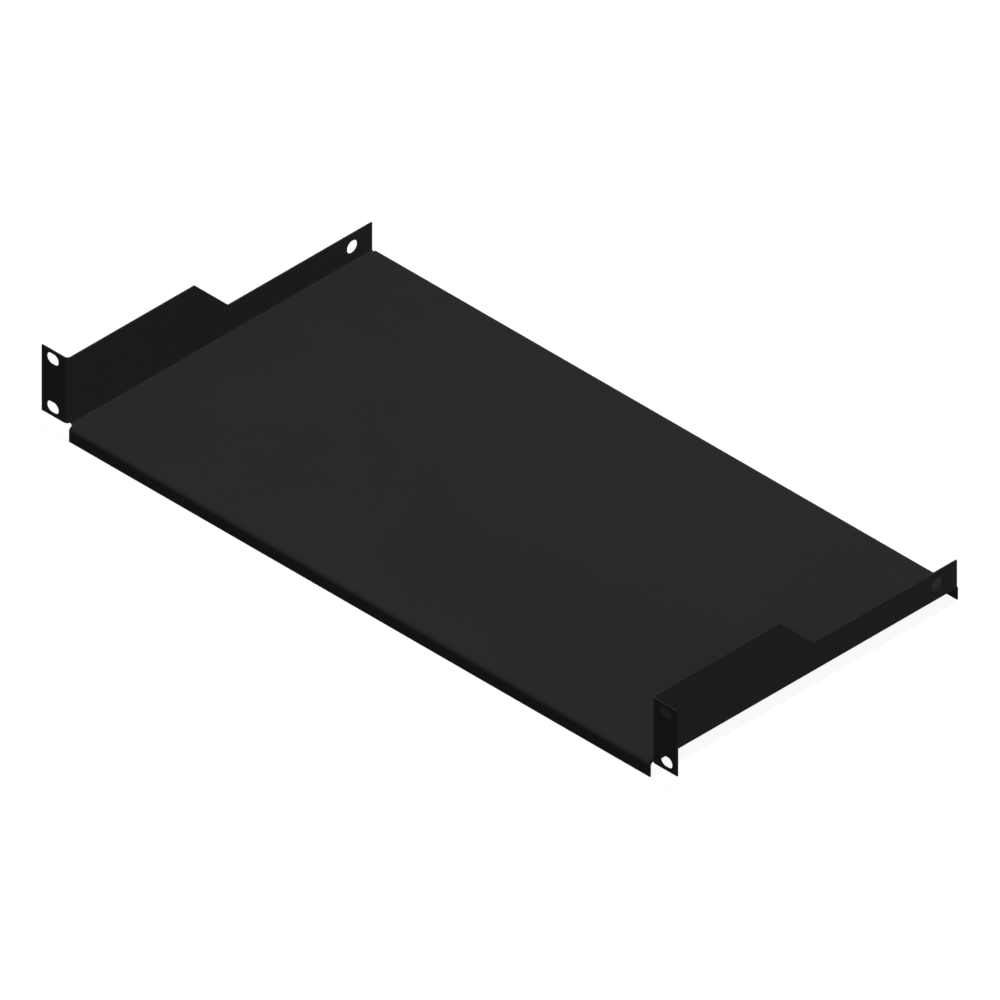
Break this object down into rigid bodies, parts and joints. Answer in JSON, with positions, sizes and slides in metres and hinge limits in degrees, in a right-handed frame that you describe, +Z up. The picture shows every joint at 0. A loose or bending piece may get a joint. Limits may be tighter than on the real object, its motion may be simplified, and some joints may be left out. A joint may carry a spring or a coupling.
{
  "type": "cantilever rack shelf",
  "caption": "Folded steel tray with a plain floor, slotted front ears for a rack, side walls that step down towards the back, and lips folded down at front and back.",
  "frame": {"origin": "on the back faces of the ears, where they meet the rack, midway between the four slots", "axes": "+X to the right seen from the front, +Y into the rack, +Z up"},
  "size_m": [0.4826, 0.2342, 0.0536],
  "materials": {
    "powder_coat": "fine-textured black powder coat, matt"
  },
  "bodies": {
    "root": {"shelf": "powder_coat"}
  },
  "joints": []
}
